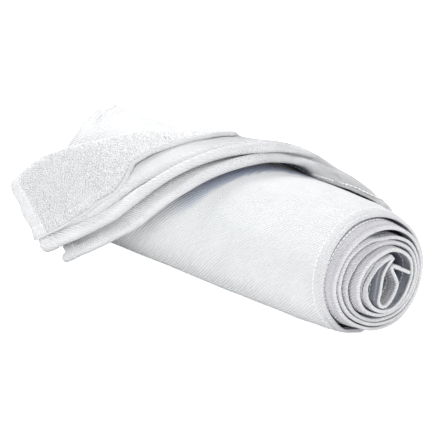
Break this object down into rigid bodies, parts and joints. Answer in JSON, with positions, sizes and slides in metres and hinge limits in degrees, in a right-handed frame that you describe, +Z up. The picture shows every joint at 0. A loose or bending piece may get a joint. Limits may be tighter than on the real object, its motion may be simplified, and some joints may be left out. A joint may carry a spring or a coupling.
{
  "type": "rolled sports towel",
  "caption": "White narrow sports towel wound into a roll, with its loose end gathered and folded over the top and hanging to the floor in front",
  "frame": {"origin": "centre of the bounding box on the floor", "axes": "+X along the roll towards its spiral end, -Y the side on which the loose end hangs, +Z up"},
  "size_m": [0.3248, 0.124, 0.1081],
  "materials": {
    "towel_cloth": "white cotton, finely ribbed face outside and looped face inside"
  },
  "bodies": {
    "root": {"towel": "towel_cloth"}
  },
  "joints": []
}
